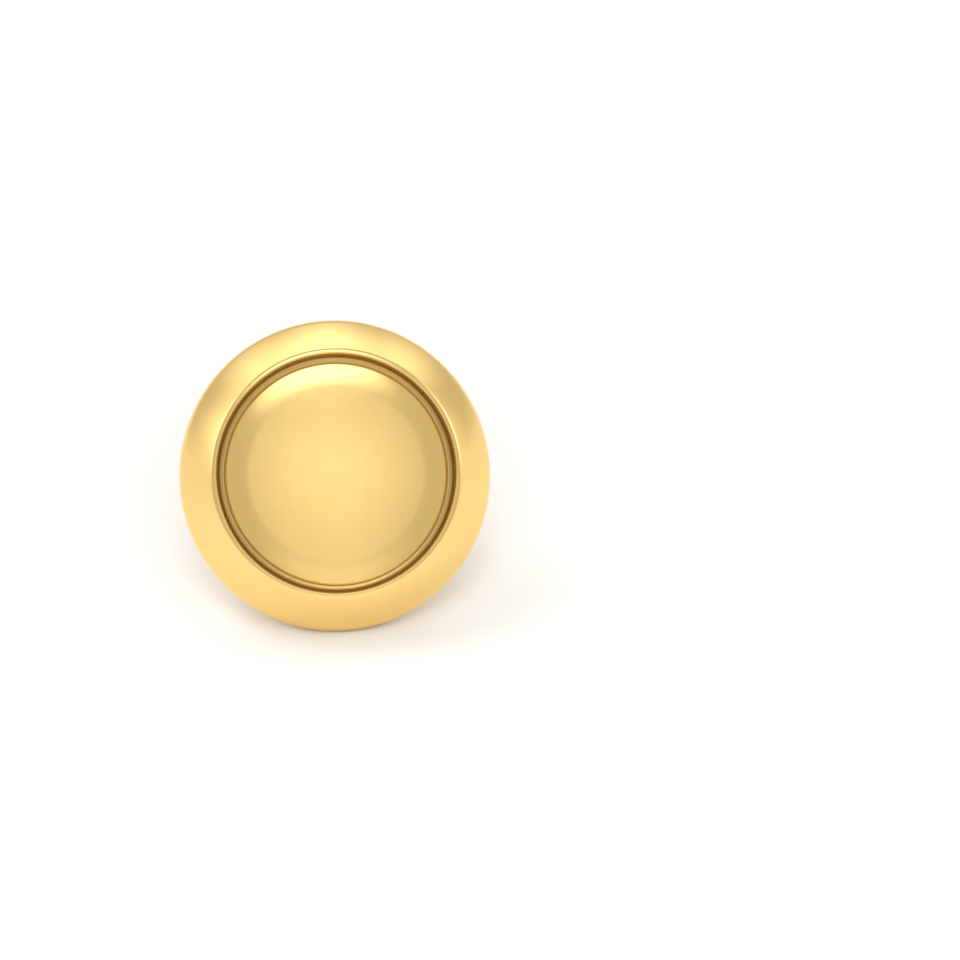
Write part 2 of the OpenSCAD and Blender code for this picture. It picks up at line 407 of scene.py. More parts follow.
@dataclass
class ButtonForm:
    """Sizes of the button and the arcs of its outline, shared by its front and its back."""

    diameter: float = 0.023
    band_width: float = 0.00263
    band_slope_inner: float = 46.5
    band_slope_outer: float = 55.0
    wall: float = 0.00032
    groove_depth: float = 0.00095
    groove_fillet: float = 0.00039
    groove_draft: float = 15.0
    groove_floor: float = 0.00003
    disc_dome_slope: float = 5.2
    disc_edge_slope: float = 16.0
    disc_edge_facing: float = 88.0
    disc_edge_round: float = 0.0003
    disc_shoulder_round: float = 0.009
    lip_inner_round: float = 0.00008
    lip_outer_round: float = 0.0005
    edge_front_round: float = 0.0015
    edge_round: float = 0.00062
    edge_back_round: float = 0.0013
    shoulder_round: float = 0.0048
    edge_front_end: float = 84.0
    edge_end: float = 125.0
    edge_back_end: float = 150.0
    back_slope: float = 12.0
    plate_thickness: float = 0.00038
    turned_width: float = 0.00138
    seam_gap: float = 0.00003

    def __post_init__(self) -> None:
        """Work out the arcs of the outline from the sizes."""
        self.radius = self.diameter / 2
        lip_radius = self.radius - self.band_width
        lip = Arc((lip_radius, 0.0), self.lip_outer_round, 0.0, self.band_slope_inner)
        edge_in = (self.radius
                   - turn(self.edge_front_round, self.band_slope_outer, self.edge_front_end)[0]
                   - turn(self.edge_round, self.edge_front_end, 90.0)[0])
        rise = turn(1.0, self.band_slope_inner, self.band_slope_outer)[0]
        self.band_round = (edge_in - lip.finish[0]) / rise
        dome_start = 180.0 - self.back_slope
        self.lip, self.band, self.edge_front, self.edge, self.edge_back, self.shoulder = chain(
            lip.start, [
                (self.lip_outer_round, 0.0, self.band_slope_inner),
                (self.band_round, self.band_slope_inner, self.band_slope_outer),
                (self.edge_front_round, self.band_slope_outer, self.edge_front_end),
                (self.edge_round, self.edge_front_end, self.edge_end),
                (self.edge_back_round, self.edge_end, self.edge_back_end),
                (self.shoulder_round, self.edge_back_end, dome_start)])
        self.dome_round = self.shoulder.finish[0] / math.sin(math.radians(self.back_slope))
        self.dome = Arc(self.shoulder.finish, self.dome_round, dome_start, 180.0)
        self.back_depth = self.dome.finish[1]

        wall_facing = self.groove_draft - 90.0
        self.lip_inside, = chain_back(lip.start, [(self.lip_inner_round, wall_facing, 0.0)])
        rise_to_wall = turn(-self.groove_fillet, 0.0, wall_facing)
        top = self.lip_inside.start
        drop = self.groove_depth + rise_to_wall[1] - top[1]
        fillet_top = (top[0] - drop * math.tan(math.radians(self.groove_draft)), top[1] + drop)
        self.fillet = Arc(plus(fillet_top, rise_to_wall, -1.0), -self.groove_fillet, 0.0, wall_facing)
        disc_rim = (self.fillet.start[0] - self.groove_floor, self.groove_depth)
        self.disc_shoulder, self.disc_edge = chain_back(disc_rim, [
            (self.disc_shoulder_round, self.disc_dome_slope, self.disc_edge_slope),
            (self.disc_edge_round, self.disc_edge_slope, self.disc_edge_facing)])
        disc_round = self.disc_shoulder.start[0] / math.sin(math.radians(self.disc_dome_slope))
        self.disc, = chain_back(self.disc_shoulder.start, [(disc_round, 0.0, self.disc_dome_slope)])
        self.seam_radius = self.radius - self.turned_width

    def shoulder_facing(self, radius: float) -> float:
        """Return the facing of the back shoulder at a distance from the axis.

        Args:
            radius: The distance.

        Returns:
            The facing in degrees.
        """
        sine = (radius - self.shoulder.start[0]) / self.shoulder_round
        return 180.0 - math.degrees(math.asin(sine + math.sin(math.radians(self.edge_back_end))))

    def shoulder_until(self, facing: float) -> Arc:
        """Return the back shoulder from the edge to that facing."""
        return Arc(self.shoulder.start, self.shoulder_round, self.edge_back_end, facing)

    def back_depth_at(self, radius: float) -> float:
        """Return the depth of the back's dome at a distance from the axis."""
        return self.back_depth - self.dome_round + math.sqrt(self.dome_round ** 2 - radius ** 2)


@dataclass
class RestingPose:
    """How the earring lies: on the button's edge and the lower scroll of its back."""

    form: ButtonForm
    post_root_height: float = 0.0028
    post_rise: float = 2.6
    clutch_distance: float = 0.00772
    scroll_ahead: float = 0.00288
    scroll_height: float = 0.00215
    scroll_radius: float = 0.00183

    def __post_init__(self) -> None:
        """Work out the tilt that puts the edge and the scroll on one level surface."""
        form = self.form
        self.root = (form.back_depth_at(self.post_root_height), self.post_root_height)
        edge_centre = plus(form.edge_back.start, outward(form.edge_end), -form.edge_back_round)
        foot = (edge_centre[1], -edge_centre[0])
        heel = self.on_axis(self.clutch_distance + self.scroll_ahead, -self.scroll_height)
        span = plus(heel, foot, -1.0)
        fall = math.acos((self.scroll_radius - form.edge_back_round) / math.hypot(*span))
        self.tilt = fall - math.atan2(span[0], span[1])
        lip_low = plus((form.lip.start[0], 0.0), turn(form.lip_outer_round, 0.0, math.degrees(self.tilt)))
        front = self.level((lip_low[1], -lip_low[0]))[0]
        scroll_top = self.on_axis(self.clutch_distance + self.scroll_ahead, self.scroll_height)
        rear = self.level(scroll_top)[0] + self.scroll_radius
        floor = self.level(foot)[1] - form.edge_back_round
        self.matrix = (Matrix.Translation((0.0, -(front + rear) / 2, -floor))
                       @ Matrix.Rotation(-self.tilt, 4, "X"))

    def on_axis(self, along: float, off: float) -> Point:
        """Return (depth, height) of a point measured along and off the post's axis.

        Args:
            along: Distance from the root.
            off: Distance above the axis.

        Returns:
            The point in the button's own frame.
        """
        rise = math.radians(self.post_rise)
        return (self.root[0] + along * math.cos(rise) - off * math.sin(rise),
                self.root[1] + along * math.sin(rise) + off * math.cos(rise))

    def level(self, at: Point) -> Point:
        """Return (distance back, height) of a point after the tilt."""
        return (at[0] * math.cos(self.tilt) + at[1] * math.sin(self.tilt),
                at[1] * math.cos(self.tilt) - at[0] * math.sin(self.tilt))

    @property
    def on_post(self) -> Matrix:
        """Matrix from the post's own frame, with y along it from its root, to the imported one."""
        return (self.matrix @ Matrix.Translation((0.0, *self.root))
                @ Matrix.Rotation(math.radians(self.post_rise), 4, "X"))


def head_coordinates(tree: bpy.types.NodeTree, pose: RestingPose) -> bpy.types.NodeSocket:
    """Add nodes that give a shader the button's own frame, in millimetres.

    Args:
        tree: The material's node tree.
        pose: How the earring lies.

    Returns:
        The vector output: across, depth and height.
    """
    place = add_node(tree, "ShaderNodeTexCoord").outputs["Object"]
    back = pose.matrix.inverted()
    turned = add_node(tree, "ShaderNodeMapping", {
        "Vector": place,
        "Location": tuple(MM * v for v in back.translation),
        "Rotation": tuple(back.to_euler("XYZ")),
        "Scale": (MM, MM, MM),
    }, vector_type="POINT")
    return turned.outputs["Vector"]


@dataclass
class GoldNodes:
    """A gold material in the making, with the steps that all the gold finishes share."""

    name: str
    pose: RestingPose

    def __post_init__(self) -> None:
        """Start the material and find the button's own coordinates."""
        self.made = bpy.data.materials.new(self.name)
        self.made.use_nodes = True
        self.tree = self.made.node_tree
        self.shader = self.tree.nodes["Principled BSDF"]
        self.shader.inputs["Metallic"].default_value = 1.0
        self.place = head_coordinates(self.tree, self.pose)

    def feed(self, name: str, value: bpy.types.NodeSocket) -> None:
        """Link a value to an input of the shader."""
        self.tree.links.new(value, self.shader.inputs[name])

    def add_noise(self, size_mm: float, detail: float, place: bpy.types.NodeSocket | None = None,
                  **more: float) -> bpy.types.NodeSocket:
        """Add a noise.

        Args:
            size_mm: Size of its patches.
            detail: How many finer layers it has.
            place: Where it is looked up, or None for the button's own coordinates.
            **more: Other inputs of the node.

        Returns:
            Its value.
        """
        return add_node(self.tree, "ShaderNodeTexNoise", {
            "Vector": self.place if place is None else place,
            "Scale": 1 / size_mm, "Detail": detail, **more}).outputs[0]

    def mix_colours(self, share: bpy.types.NodeSocket, first: Colour | bpy.types.NodeSocket,
                    second: Colour) -> bpy.types.NodeSocket:
        """Add a mix of two colours.

        Args:
            share: How much of the second one shows.
            first: The first colour, or what gives it.
            second: The second colour.

        Returns:
            The mixed colour.
        """
        return add_node(self.tree, "ShaderNodeMix", {
            "Factor": share, COLOUR_A: first, COLOUR_B: second}, data_type="RGBA").outputs[2]

    def add_bump(self, height: bpy.types.NodeSocket, height_mm: float,
                 below: bpy.types.NodeSocket | None = None) -> bpy.types.NodeSocket:
        """Add a bump.

        Args:
            height: Pattern of the bump, from 0 to 1.
            height_mm: Height of the pattern.
            below: The bumpy surface that it lies on, if there is one.

        Returns:
            The surface's normal.
        """
        inputs = {"Height": height, "Strength": 1.0, "Distance": height_mm / MM}
        if below is not None:
            inputs["Normal"] = below
        return add_node(self.tree, "ShaderNodeBump", inputs).outputs[0]

    def cloud_over(self, size_mm: float, detail: float, colours: tuple[str, str], roughness: Point) -> None:
        """Let the colour and the roughness drift together in soft clouds.

        Args:
            size_mm: Size of the clouds.
            detail: How many finer layers they have.
            colours: Hex colours of the two ends.
            roughness: Roughness of the two ends.
        """
        clouds = self.add_noise(size_mm, detail)
        self.feed("Base Color", self.mix_colours(clouds, srgb(colours[0]), srgb(colours[1])))
        self.feed("Roughness", add_range(self.tree, clouds, CLOUD_RANGE, roughness))


@dataclass(frozen=True)
class BuffedGold:
    """14 ct yellow gold sheet, turned and then buffed on a soft mop to a deep shine.

    The eye sees soft-edged mirror reflections with a faint waviness, because the mop follows
    the sheet, and a hint of lines running round the button. The groove is given painted shade:
    a darker olive-brown colour there, with a higher roughness.
    """

    colour: str = "#FAD98D"
    deeper_colour: str = "#F4CE80"
    roughness: float = 0.12
    rougher: float = 0.17
    # Painted shade: the darker olive-brown colour laid into the groove
    patina_colour: str = "#C6AC72"
    patina_roughness: float = 0.3
    patina_fade_mm: float = 0.12
    cloud_layers: float = 3.0
    smear_layers: float = 4.0
    line_layers: float = 2.0
    wave_mm: float = 5.0
    wave_height_mm: float = 0.006
    smear_mm: float = 2 / 3
    line_mm: float = 0.06
    line_height_mm: float = 0.00025

    def material(self, pose: RestingPose, groove_mm: tuple[float, float]) -> bpy.types.Material:
        """Make the material.

        Args:
            pose: How the earring lies, for patterns that run round the button.
            groove_mm: The groove's inner and outer radius, where the shade is painted.

        Returns:
            The material.
        """
        nodes = GoldNodes("yellow_gold_turned_and_buffed", pose)
        tree = nodes.tree
        across, depth, height = add_node(tree, "ShaderNodeSeparateXYZ", {"Vector": nodes.place}).outputs
        flat = add_node(tree, "ShaderNodeCombineXYZ", {"X": across, "Y": height}).outputs[0]
        reach = add_node(tree, "ShaderNodeVectorMath", {0: flat}, operation="LENGTH").outputs["Value"]
        around = add_node(tree, "ShaderNodeMath", {0: height, 1: across}, operation="ARCTAN2").outputs[0]
        polar = add_node(tree, "ShaderNodeCombineXYZ", {"X": reach, "Y": around, "Z": depth}).outputs[0]

        # Painted shade: the groove's colour is darkened to olive-brown there, and its roughness is raised
        inner, outer = groove_mm
        fade = self.patina_fade_mm
        begun = add_range(tree, reach, (inner - fade, inner + fade), (0.0, 1.0), smooth=True)
        ended = add_range(tree, reach, (outer - fade, outer + fade), (1.0, 0.0), smooth=True)
        film = add_node(tree, "ShaderNodeMath", {0: begun, 1: ended}, operation="MULTIPLY").outputs[0]
        gold = nodes.mix_colours(
            nodes.add_noise(self.wave_mm, self.cloud_layers), srgb(self.colour), srgb(self.deeper_colour))
        nodes.feed("Base Color", nodes.mix_colours(film, gold, srgb(self.patina_colour)))
        smears = nodes.add_noise(self.smear_mm, self.smear_layers)
        rough = add_range(tree, smears, SMEAR_RANGE, (self.roughness, self.rougher))
        dulled = add_node(tree, "ShaderNodeMix", {
            "Factor": film, NUMBER_A: rough, NUMBER_B: self.patina_roughness})
        nodes.feed("Roughness", dulled.outputs[0])
        waves = nodes.add_bump(nodes.add_noise(self.wave_mm, 1.0), self.wave_height_mm)
        lines = nodes.add_noise(self.line_mm, self.line_layers, polar)
        nodes.feed("Normal", nodes.add_bump(lines, self.line_height_mm, waves))
        return nodes.made


@dataclass(frozen=True)
class PickledGold:
    """14 ct yellow gold plate, cast, soldered on and left as it came from the pickle.

    The eye sees a satin surface of fine grains that glint one by one, duller and deeper in
    colour than the buffed front.
    """

    colour: str = "#F0CC86"
    deeper_colour: str = "#DEB16B"
    roughness: float = 0.2
    rougher: float = 0.3
    grain_mm: float = 0.18
    grain_height_mm: float = 0.04
    grain_coarseness: float = 0.6
    grain_layers: float = 2.5
    cloud_mm: float = 2.2
    cloud_layers: float = 4.0

    def material(self, pose: RestingPose) -> bpy.types.Material:
        """Make the material.

        Args:
            pose: How the earring lies.

        Returns:
            The material.
        """
        nodes = GoldNodes("yellow_gold_cast_and_pickled", pose)
        nodes.cloud_over(self.cloud_mm, self.cloud_layers, (self.colour, self.deeper_colour),
                         (self.roughness, self.rougher))
        grain = nodes.add_noise(self.grain_mm, self.grain_layers, Roughness=self.grain_coarseness)
        nodes.feed("Normal", nodes.add_bump(grain, self.grain_height_mm))
        return nodes.made


@dataclass(frozen=True)
class DrawnGold:
    """14 ct yellow gold wire and strip, drawn or rolled hard and tumbled bright.

    The eye sees a bright surface with faint straight lines along the metal, which the die
    or the rolls left.
    """

    name: str
    colour: str = "#F8D88E"
    deeper_colour: str = "#F0CA7E"
    roughness: float = 0.14
    rougher: float = 0.22
    line_mm: float = 0.05
    line_length_mm: float = 2.5
    line_height_mm: float = 0.0003
    line_layers: float = 2.0
    cloud_mm: float = 1.6
    cloud_layers: float = 3.0

    def material(self, pose: RestingPose, turned: float = 0.0) -> bpy.types.Material:
        """Make the material.

        Args:
            pose: How the earring lies.
            turned: Turn of the lines about the button's x axis, in degrees.

        Returns:
            The material.
        """
        nodes = GoldNodes(self.name, pose)
        nodes.cloud_over(self.cloud_mm, self.cloud_layers, (self.colour, self.deeper_colour),
                         (self.roughness, self.rougher))
        stretched = add_node(nodes.tree, "ShaderNodeMapping", {
            "Vector": nodes.place, "Rotation": (math.radians(turned), 0.0, 0.0),
            "Scale": (1 / self.line_mm, 1 / self.line_length_mm, 1 / self.line_mm)}, vector_type="POINT")
        lines = nodes.add_noise(1.0, self.line_layers, stretched.outputs[0])
        nodes.feed("Normal", nodes.add_bump(lines, self.line_height_mm))
        return nodes.made


def finish_piece(piece: bpy.types.Object, material: bpy.types.Material, body: str,
                 stands_for: str) -> None:
    """Dress a piece, tie it to its body and report it.

    Args:
        piece: The piece.
        material: What it is made of.
        body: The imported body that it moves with.
        stands_for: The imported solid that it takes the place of.
    """
    piece.data.materials.append(material)
    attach(piece, body)
    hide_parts(stands_for)
    LOG.info("%s: %d faces, rides on %s, stands for %s",
             piece.name, len(piece.data.polygons), body, stands_for)


@dataclass
class FrontShell:
    """The hollow front: recessed disc, groove, lip, sloping band and edge turned in behind."""

    form: ButtonForm
    pose: RestingPose
    finish: BuffedGold = BuffedGold()
    segments: int = 320
    crease_round: float = 0.00004
    turned_edge_round: float = 0.00005
    inside_step_angle: float = 8.0
    inside_step_length: float = 0.001

    def outline(self) -> list[OutlinePoint]:
        """Return the outline from the disc's centre round the metal and back to the axis."""
        form = self.form
        crease_rise = turn(-self.crease_round, form.disc_edge_facing, 0.0)
        crease = Arc(plus(form.fillet.start, crease_rise, -1.0), -self.crease_round,
                     form.disc_edge_facing, 0.0)
        last = form.shoulder_until(form.shoulder_facing(form.seam_radius + form.seam_gap))
        facing = last.end
        outside = joined(arc.points() for arc in (
            form.disc, form.disc_shoulder, form.disc_edge, crease, form.fillet, form.lip_inside,
            form.lip, form.band, form.edge_front, form.edge, form.edge_back, last))
        rim = Arc(last.finish, self.turned_edge_round, facing, facing + 90.0)
        steps = (form.wall, self.inside_step_angle, self.inside_step_length)
        inside = joined(list(reversed(arc.points(*steps))) for arc in (
            last, form.edge_back, form.edge, form.edge_front, form.band,
            form.fillet, form.disc_shoulder, form.disc))
        return joined([outside, rim.points(), [
            OutlinePoint(max(p.radius, 0.0), p.depth, p.facing + 180.0) for p in inside[1:]]])

    def build(self) -> bpy.types.Object:
        """Build and dress the shell, and return it."""
        turned = TurnedMesh(self.segments)
        turned.turn_outline(self.outline())
        shell = mesh_object(
            "front_shell_buffed", turned.points, turned.faces, self.pose.matrix, turned.normals)
        groove_mm = (MM * self.form.disc_edge.finish[0], MM * self.form.lip_inside.finish[0])
        material = self.finish.material(self.pose, groove_mm)
        finish_piece(shell, material, "button", "front_shell")
        return shell


@dataclass
class BackPlate:
    """The domed plate that closes the back, with its vent hole and a tongue under the edge."""

    form: ButtonForm
    pose: RestingPose
    finish: PickledGold = PickledGold()
    segments: int = 360
    vent_radius: float = 0.0004
    vent_reach: float = 0.009
    vent_angle: int = -30
    vent_rim_round: float = 0.00005
    patch_half: float = 0.00055
    patch_cells: int = 8
    patch_rings: int = 5
    first_patch_ring: int = 30
    tongue_width: float = 0.00045
    tongue_thickness: float = 0.00026
    tongue_overlap: float = 0.00035
    tongue_step_angle: float = 4.0
    vent_rim_steps: int = 4

    @property
    def vent_centre(self) -> Vector:
        """Return the middle of the vent seen from the back: across and height."""
        angle = math.radians(self.vent_angle)
        return Vector((self.vent_reach * math.cos(angle), self.vent_reach * math.sin(angle)))

    def dome_radii(self) -> list[float]:
        """Return the radii of the dome's rings, with the patch's own rings among them."""
        low, high = self.vent_reach - self.patch_half, self.vent_reach + self.patch_half
        return spread(0.0, low, self.first_patch_ring + 1) + spread(low, high, self.patch_cells + 1)[1:]

    def outer_outline(self) -> list[OutlinePoint]:
        """Return the outline of the plate's outer face from the axis to its rim."""
        form = self.form
        dome = [self.dome_point(r, 0.0) for r in self.dome_radii()]
        plate_facing = form.shoulder_facing(form.seam_radius)
        rim = Arc(form.shoulder_until(plate_facing).finish, form.shoulder_round,
                  plate_facing, form.shoulder.end)
        return joined([dome, list(reversed(rim.points()))])

    def dome_point(self, radius: float, inset: float) -> OutlinePoint:
        """Return the point of the dome, set in by inset, at a distance from the axis.

        Args:
            radius: The distance.
            inset: How deep the face lies below the outer one.

        Returns:
            The point with its facing.
        """
        form = self.form
        inner_round = form.dome_round - inset
        depth = form.back_depth - form.dome_round + math.sqrt(inner_round ** 2 - radius ** 2)
        return OutlinePoint(radius, depth, 180.0 - math.degrees(math.asin(radius / inner_round)))

    def tongue_outline(self) -> list[OutlinePoint]:
        """Return the outline from the plate's rim under the turned-in edge to the inner face."""
        form = self.form
        under = form.wall + form.seam_gap
        plate_facing = form.shoulder_facing(form.seam_radius)
        far_facing = form.shoulder_facing(form.seam_radius + self.tongue_width)
        near_facing = form.shoulder_facing(form.seam_radius - self.tongue_overlap)
        start = form.shoulder_until(far_facing).finish
        top = Arc(start, form.shoulder_round, far_facing, plate_facing).points(
            under, self.tongue_step_angle)
        low = Arc(start, form.shoulder_round, far_facing, near_facing).points(
            under + self.tongue_thickness, self.tongue_step_angle)
        return list(reversed(top)) + [OutlinePoint(p.radius, p.depth, p.facing + 180.0) for p in low]

    def pierce(self, turned: TurnedMesh, rings: Sequence[Sequence[int]], inset: float) -> list[int]:
        """Fill the square patch left open round the vent, down to the hole.

        Args:
            turned: The plate's mesh so far.
            rings: The patch's corners, a list for each ring of the plate that crosses it.
            inset: How deep this face lies below the outer one.

        Returns:
            The corners round the hole.
        """
        n = self.patch_cells
        border = ([rings[i][0] for i in range(n)] + [rings[n][j] for j in range(n)]
                  + [rings[i][n] for i in range(n, 0, -1)] + [rings[0][j] for j in range(n, 0, -1)])
        centre = self.vent_centre
        rays = [Vector((turned.points[c][0], turned.points[c][2])) - centre for c in border]
        inner_face = inset > 0.0
        hole = self.vent_radius + (0.0 if inner_face else self.vent_rim_round)
        previous = border
        for share in spread(1.0, 0.0, self.patch_rings + 1)[1:]:
            ring = []
            for ray in rays:
                at = centre + ray.normalized() * (hole + share * (ray.length - hole))
                on_dome = self.dome_point(at.length, inset)
                facing = on_dome.facing + (180.0 if inner_face else 0.0)
                ring.append(turned.add_point(at.x, on_dome.depth, at.y, facing, math.atan2(at.y, at.x)))
            turned.bridge(previous, ring, flipped=not inner_face)
            previous = ring
        return previous

    def vent_wall(self, turned: TurnedMesh, outer: Sequence[int], inner: Sequence[int]) -> None:
        """Round the vent's rim over and join it to the hole in the inner face.

        Args:
            turned: The plate's mesh so far.
            outer: The corners round the hole in the outer face.
            inner: The corners round the hole in the inner face.
        """
        centre = self.vent_centre
        previous = list(outer)
        for lean in spread(0.0, 90.0, self.vent_rim_steps + 1)[1:]:
            ring = []
            back_in = self.vent_rim_round * (1 - math.cos(math.radians(lean)))
            closer = self.vent_rim_round * math.sin(math.radians(lean))
            for corner in outer:
                x, depth, height = turned.points[corner]
                ray = (Vector((x, height)) - centre).normalized()
                turned.points.append((x - ray.x * closer, depth - back_in, height - ray.y * closer))
                out = math.sin(math.radians(lean))
                turned.normals.append((-ray.x * out, math.cos(math.radians(lean)), -ray.y * out))
                ring.append(len(turned.points) - 1)
            turned.bridge(previous, ring, flipped=True)
            previous = ring
        turned.bridge(previous, list(inner), flipped=True)

    def build(self) -> bpy.types.Object:
        """Build and dress the plate, and return it."""
        turned = TurnedMesh(self.segments, inwards=True)
        outer = self.outer_outline()
        tongue = self.tongue_outline()
        inner = [OutlinePoint(p.radius, p.depth, p.facing + 180.0) for p in reversed(
            [self.dome_point(r, self.form.plate_thickness) for r in self.dome_radii()])]
        outline = outer + tongue + inner
        for at in outline:
            turned.add_ring(at)
        first = self.first_patch_ring
        count = self.patch_cells
        outer_rows = range(first, first + count)
        last = len(outline) - 1 - first
        inner_rows = range(last - count, last)
        half = math.degrees(self.patch_half / self.vent_reach)
        start = round((self.vent_angle - half) * self.segments / 360) % self.segments
        patch = range(start, start + count)
        for i in range(len(outline) - 1):
            is_open = i in outer_rows or i in inner_rows
            turned.join_rings(i, i + 1, patch if is_open else range(0))
        columns = [j % self.segments for j in range(start, start + count + 1)]
        outer_patch = [[turned.rings[first + i][j] for j in columns] for i in range(count + 1)]
        inner_patch = [[turned.rings[last - i][j] for j in columns] for i in range(count + 1)]
        outer_hole = self.pierce(turned, outer_patch, 0.0)
        inner_hole = self.pierce(turned, inner_patch, self.form.plate_thickness)
        self.vent_wall(turned, outer_hole, inner_hole)
        plate = mesh_object(
            "back_plate_satin", turned.points, turned.faces, self.pose.matrix, turned.normals)
        finish_piece(plate, self.finish.material(self.pose), "button", "back_plate")
        return plate


@dataclass
class EarPost:
    """The ear wire with the solder round its root, and the raised pad beside it."""

    form: ButtonForm
    pose: RestingPose
    wire_finish: DrawnGold = DrawnGold("yellow_gold_drawn_wire")
    pad_finish: DrawnGold = DrawnGold("yellow_gold_filed_pad", roughness=0.2, rougher=0.28)
    wire_radius: float = 0.00045
    wire_length: float = 0.01255
    solder: float = 0.00034
    tip_round: float = 0.00022
    sunk: float = 0.0002
    segments: int = 64
    shank_rings: int = 24
    round_step_angle: float = 9.0
    pad_length: float = 0.00488
    pad_width: float = 0.0024
    pad_thickness: float = 0.00055
    pad_above_wire: float = 0.00011
    pad_lean: float = 1.0
    pad_bevel: float = 0.00031
    pad_corner: float = 0.0005
    pad_low_corner: float = 0.00028
    pad_edge_round: float = 0.00008
    pad_draft: float = 13.0
    pad_solder: float = 0.0002
    pad_lip: float = 0.00004
    pad_blend: float = 0.00008
    pad_step: float = 0.0002
    pad_corner_points: int = 9
    pad_solder_rings: int = 7
    pad_edge_rings: int = 6
    pad_face_rings: int = 15
    pad_round_share: float = 0.45
    solder_unevenness: float = 0.25
    solder_ripples_per_metre: float = 1200.0

    def build_wire(self) -> bpy.types.Object:
        """Build and dress the wire, and return it."""
        foot = self.wire_radius + self.solder
        root = Arc((foot, 0.0), -self.solder, 180.0, 90.0)
        tip = Arc((self.wire_radius, self.wire_length - self.tip_round), self.tip_round, 90.0, 180.0)
        shank = [OutlinePoint(self.wire_radius, depth, 90.0)
                 for depth in spread(self.solder, tip.start[1], self.shank_rings)]
        turned = TurnedMesh(self.segments)
        turned.turn_outline(joined([
            [OutlinePoint(0.0, -self.sunk, 0.0), OutlinePoint(foot, -self.sunk, 90.0)],
            root.points(0.0, self.round_step_angle), shank, tip.points(0.0, self.round_step_angle),
            [OutlinePoint(0.0, self.wire_length, 180.0)]]))
        wire = mesh_object("ear_post", turned.points, turned.faces, self.pose.on_post, turned.normals)
        finish_piece(wire, self.wire_finish.material(self.pose, self.pose.post_rise),
                     "button", "back_plate")
        return wire

    def pad_outline(self) -> list[tuple[Vector, Vector]]:
        """Return the pad's outline seen from the back: each point with its outward direction."""
        low = self.pose.post_root_height + self.wire_radius + self.pad_above_wire
        high, half = low + self.pad_length, self.pad_width / 2
        corners = ((half, low, 1, 1, -90, self.pad_low_corner), (half, high, 1, -1, 0, self.pad_corner),
                   (-half, high, -1, -1, 90, self.pad_corner), (-half, low, -1, 1, 180, self.pad_low_corner))
        outline: list[tuple[Vector, Vector]] = []
        for x, height, side, end, begin, radius in corners:
            centre = Vector((x - side * radius, height + end * radius))
            for degrees in spread(begin, begin + 90, self.pad_corner_points):
                out = Vector((math.cos(math.radians(degrees)), math.sin(math.radians(degrees))))
                outline.append((centre + radius * out, out))
        filled: list[tuple[Vector, Vector]] = []
        for (p, out), (q, _) in zip(outline, outline[1:] + outline[:1]):
            steps = max(1, round((q - p).length / self.pad_step))
            filled += [(p.lerp(q, i / steps), out) for i in range(steps)]
        return filled

    def pad_top(self, height: float) -> float:
        """Return the depth of the pad's face at a height: a flat, and a bevel at its upper end.

        Args:
            height: The height.

        Returns:
            The depth, blended where flat and bevel meet.
        """
        low = self.pose.post_root_height + self.wire_radius + self.pad_above_wire
        high = low + self.pad_length
        middle = (low + high) / 2
        lean = math.asin(middle / self.form.dome_round) + math.radians(self.pad_lean)
        flat_mid = self.form.back_depth_at(middle) + self.pad_thickness
        flat = flat_mid - (height - middle) * math.tan(lean)
        bevel_top = flat_mid - (high - self.pad_bevel - middle) * math.tan(lean)
        bevel_end = self.form.back_depth_at(high) + self.pad_lip
        bevel = bevel_end + (high - height) / self.pad_bevel * (bevel_top - bevel_end)
        blend = self.pad_blend
        overlap = max(blend - abs(flat - bevel), 0.0) / blend
        return min(flat, bevel) - overlap ** 2 * blend / 4

    def build_pad(self) -> bpy.types.Object:
        """Build and dress the pad with the solder round it, and return it."""
        outline = self.pad_outline()
        points: list[Triple] = []
        rings: list[list[int]] = []

        def add_ring(place: list[tuple[Vector, float]]) -> None:
            """Add a ring of (place, depth) corners."""
            rings.append(list(range(len(points), len(points) + len(place))))
            points.extend((at.x, depth, at.y) for at, depth in place)

        def rise_at(at: Vector) -> float:
            """Return the height of the pad's face above the plate."""
            return self.pad_top(at.y) - self.form.back_depth_at(at.length)

        def drafted_by(at: Vector) -> float:
            """Return how far the pad's side has leaned in where it meets the face."""
            return rise_at(at) * math.tan(math.radians(self.pad_draft))

        add_ring([(p + out * self.pad_solder, self.form.back_depth_at(p.length) - self.sunk)
                  for p, out in outline])
        for lean in spread(0.0, 90.0, self.pad_solder_rings):
            ring = []
            for p, out in outline:
                fillet = min(self.pad_solder, self.pad_round_share * rise_at(p))
                ripple = noise.noise(Vector((p.x, p.y, 0.0)) * self.solder_ripples_per_metre)
                fillet *= 1.0 + self.solder_unevenness * ripple
                at = p + out * fillet * (1 - math.sin(math.radians(lean)))
                above = fillet * (1 - math.cos(math.radians(lean)))
                ring.append((at, self.form.back_depth_at(at.length) + above))
            add_ring(ring)
        for lean in spread(0.0, 90.0, self.pad_edge_rings):
            ring = []
            for p, out in outline:
                edge = min(self.pad_edge_round, self.pad_round_share * rise_at(p))
                at = p - out * (drafted_by(p) + edge * (1 - math.cos(math.radians(lean))))
                ring.append((at, self.pad_top(at.y) - edge * (1 - math.sin(math.radians(lean)))))
            add_ring(ring)
        inner = [p - out * (drafted_by(p) + self.pad_edge_round) for p, out in outline]
        middle = sum(inner, Vector((0.0, 0.0))) / len(inner)
        for share in spread(1.0, 0.0, self.pad_face_rings)[1:-1]:
            drawn_in = [middle + share * (p - middle) for p in inner]
            add_ring([(at, self.pad_top(at.y)) for at in drawn_in])
        faces: list[tuple[int, ...]] = []
        for a, b in zip(rings, rings[1:]):
            faces += [(a[j], a[j - 1], b[j - 1], b[j]) for j in range(len(a))]
        points.append((middle.x, self.pad_top(middle.y), middle.y))
        tip = len(points) - 1
        faces += [(rings[-1][j], rings[-1][j - 1], tip) for j in range(len(inner))]
        faces.append(tuple(rings[0]))
